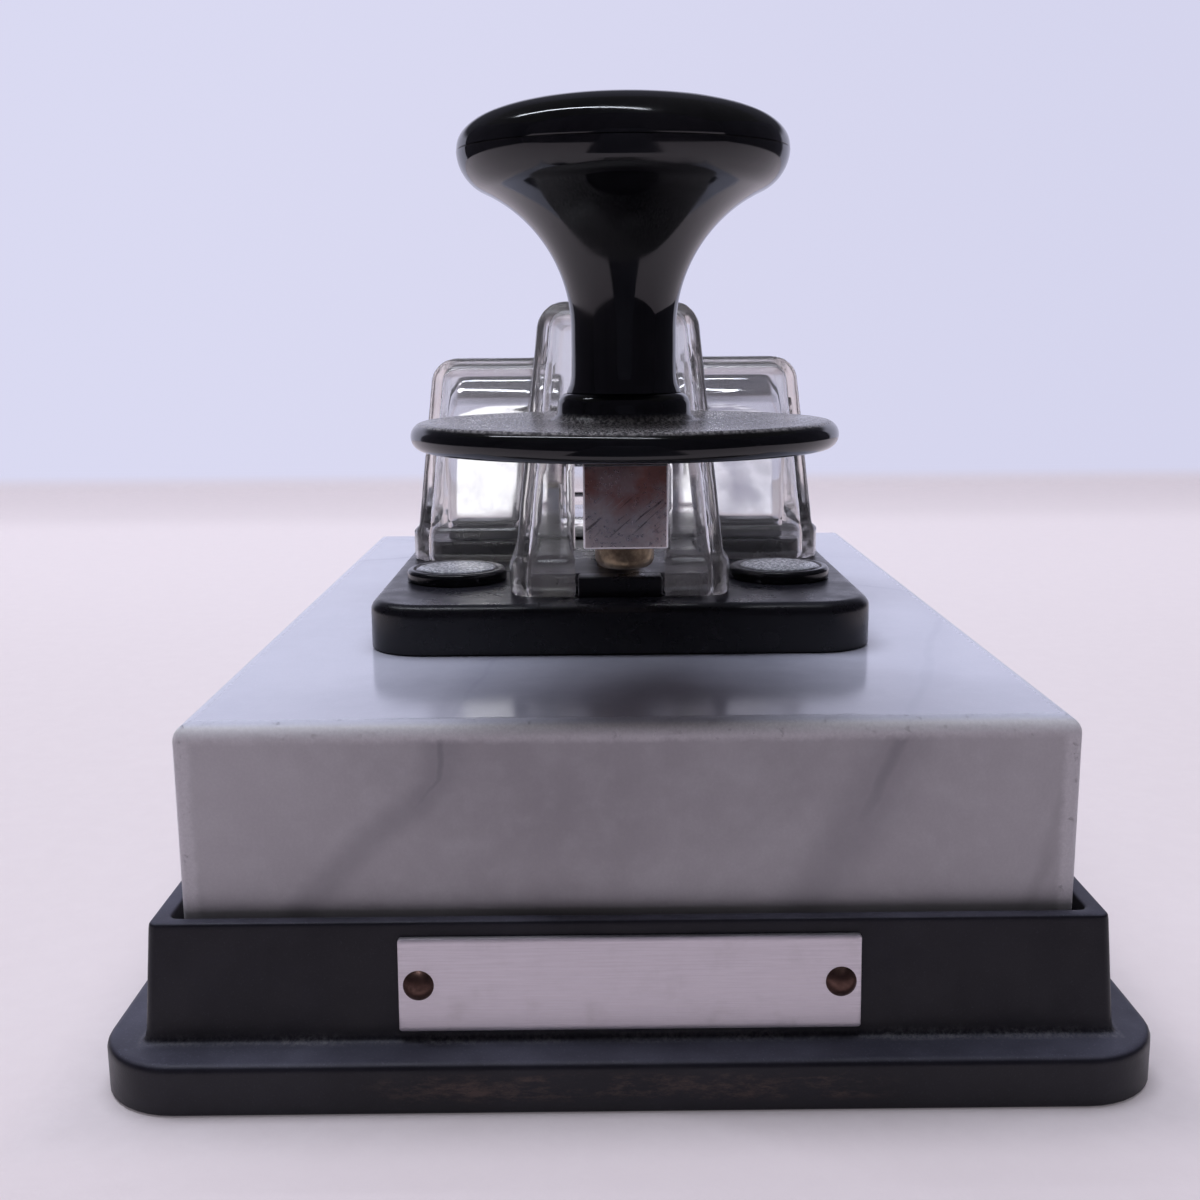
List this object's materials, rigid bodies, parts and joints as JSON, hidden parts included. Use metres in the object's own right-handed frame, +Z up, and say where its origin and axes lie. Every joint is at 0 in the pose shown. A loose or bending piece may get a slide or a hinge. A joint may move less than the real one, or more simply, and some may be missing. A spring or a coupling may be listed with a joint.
{
  "type": "straight telegraph key",
  "caption": "Straight telegraph key: a sprung square lever with a black finger knob and skirt, under a clear dust cover, on a marble block set in a black tray.",
  "frame": {"origin": "middle of the resting face, under the centre of the marble block, on the table", "axes": "+X to the operator's right, +Y away from the operator, +Z up; the knob is towards -Y"},
  "size_m": [0.1002, 0.1457, 0.0917],
  "materials": {
    "rubber_sheet": "matte",
    "tray_plastic": "satin black",
    "marble": "polished grey-white marble with soft veins",
    "plate_metal": "brushed",
    "rivet_metal": "dark brown patina",
    "deck_plastic": "satin black",
    "cap_plastic": "gloss black",
    "screw_steel": "plain",
    "clear_plastic": "clear moulded plastic",
    "lever_steel": "plated, tarnished brown in patches",
    "knob_plastic": "gloss black",
    "brass": "tarnished",
    "bright_steel": "ground",
    "yoke_chrome": "polished",
    "plated": "plated and knurled",
    "silver": "silver",
    "spring_steel": "plain"
  },
  "bodies": {
    "base": {"non_slip_pad": "rubber_sheet", "tray": "tray_plastic", "marble_block": "marble", "nameplate": "plate_metal", "nameplate_rivets": "rivet_metal", "sub_base": "deck_plastic", "clamp_screws": "screw_steel", "clamp_washers": "screw_steel", "clamp_nuts": "screw_steel", "screw_caps": "cap_plastic", "bearing_outer_rings": "bright_steel", "bearing_balls": "bright_steel", "bearing_yoke": "yoke_chrome", "bearing_caps": "plated", "yoke_screws": "screw_steel", "yoke_washer": "screw_steel", "tension_spring": "spring_steel", "spring_seat": "brass", "gap_anvil": "bright_steel", "lower_contact": "brass", "lower_contact_tip": "silver", "lower_contact_nut": "screw_steel", "terminal_studs": "plated", "terminal_base_nuts": "screw_steel", "contact_strap": "brass", "frame_strap": "brass"},
    "cover": {"dust_cover": "clear_plastic"},
    "lever": {"lever": "lever_steel", "knob": "knob_plastic", "knob_insert": "brass", "knob_skirt": "knob_plastic", "knob_screw": "brass", "trunnion_shaft": "bright_steel", "trunnion_set_screw": "screw_steel", "bearing_inner_rings": "bright_steel", "upper_contact": "brass", "upper_contact_tip": "silver"},
    "spring_cup": {"spring_cup": "brass"},
    "tension_screw": {"tension_screw": "plated"},
    "tension_lock_nut": {"tension_lock_nut": "plated"},
    "gap_screw": {"gap_screw": "plated"},
    "gap_lock_nut": {"gap_lock_nut": "plated"},
    "terminal_washer_left": {"terminal_washer_left": "plated"},
    "terminal_nut_left": {"terminal_nut_left": "plated"},
    "terminal_washer_right": {"terminal_washer_right": "plated"},
    "terminal_nut_right": {"terminal_nut_right": "plated"}
  },
  "joints": [
    {"name": "lever_rock", "type": "hinge", "parent": "base", "child": "lever", "pos_m": [0, 0.007, 0.0545], "axis": [1, 0, 0], "range_deg": [0, 1], "stiffness_Nm_per_rad": 1.2, "springref_deg": -5.73, "deforming": ["tension_spring"]},
    {"name": "cover_lift", "type": "slide", "parent": "base", "child": "cover", "axis": [0, 0, 1], "range_m": [0, 0.045]},
    {"name": "tension_feed", "type": "slide", "parent": "lever", "child": "spring_cup", "axis": [0, 0, -1], "range_m": [0, 0.0005], "deforming": ["tension_spring"]},
    {"name": "tension_turn", "type": "hinge", "parent": "spring_cup", "child": "tension_screw", "pos_m": [0, -0.0115, 0.0625], "axis": [0, 0, -1], "range_deg": [0, 360]},
    {"name": "tension_nut_turn", "type": "hinge", "parent": "lever", "child": "tension_lock_nut", "pos_m": [0, -0.0115, 0.0598], "axis": [0, 0, 1], "range_deg": [0, 180]},
    {"name": "gap_turn", "type": "hinge", "parent": "lever", "child": "gap_screw", "pos_m": [0, 0.032, 0.0625], "axis": [0, 0, 1], "range_deg": [-180, 180]},
    {"name": "gap_nut_turn", "type": "hinge", "parent": "lever", "child": "gap_lock_nut", "pos_m": [0, 0.032, 0.0598], "axis": [0, 0, 1], "range_deg": [0, 180]},
    {"name": "terminal_washer_left_lift", "type": "slide", "parent": "base", "child": "terminal_washer_left", "axis": [0, 0, 1], "range_m": [0, 0.0028]},
    {"name": "terminal_nut_left_turn", "type": "hinge", "parent": "terminal_washer_left", "child": "terminal_nut_left", "pos_m": [-0.016, 0.048, 0.046], "axis": [0, 0, 1], "range_deg": [0, 1440]},
    {"name": "terminal_washer_right_lift", "type": "slide", "parent": "base", "child": "terminal_washer_right", "axis": [0, 0, 1], "range_m": [0, 0.0028]},
    {"name": "terminal_nut_right_turn", "type": "hinge", "parent": "terminal_washer_right", "child": "terminal_nut_right", "pos_m": [0.016, 0.048, 0.046], "axis": [0, 0, 1], "range_deg": [0, 1440]}
  ],
  "couplings": [
    {"joint": "tension_turn", "follows": "tension_feed", "rad_per_m": 12566},
    {"joint": "terminal_nut_left_turn", "follows": "terminal_washer_left_lift", "rad_per_m": 8976},
    {"joint": "terminal_nut_right_turn", "follows": "terminal_washer_right_lift", "rad_per_m": 8976}
  ]
}
